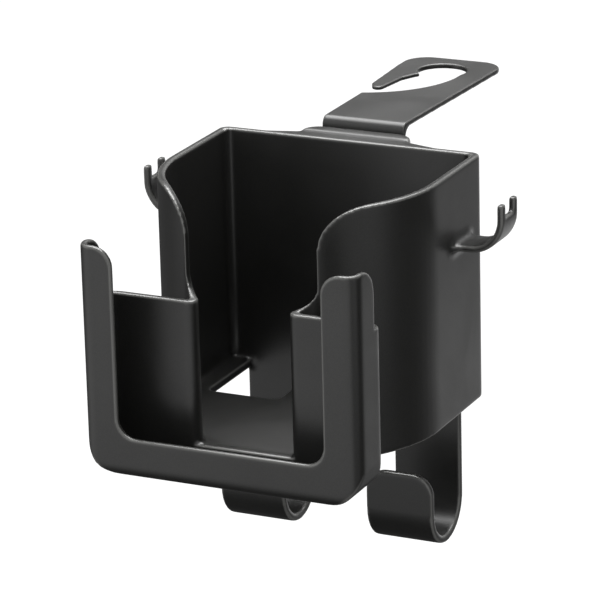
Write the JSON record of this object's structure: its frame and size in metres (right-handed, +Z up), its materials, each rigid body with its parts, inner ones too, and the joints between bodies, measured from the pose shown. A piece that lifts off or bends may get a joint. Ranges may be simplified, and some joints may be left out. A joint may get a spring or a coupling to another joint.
{
  "type": "car cup holder",
  "caption": "Moulded cup holder that hangs from a headrest post, with a phone tray, bag hooks, side hooks and a separate headrest hook that slides in at the back.",
  "frame": {"origin": "centre of the headrest post's eye, halfway through the headrest hook's plate", "axes": "+Z up along the headrest post, -Y towards the rear passenger who uses the cup, +X to that passenger's right"},
  "size_m": [0.1212, 0.1846, 0.1278],
  "materials": {
    "moulded_plastic": "satin with a fine moulded grain"
  },
  "bodies": {
    "root": {"body": "moulded_plastic", "headrest_hook": "moulded_plastic"}
  },
  "joints": []
}
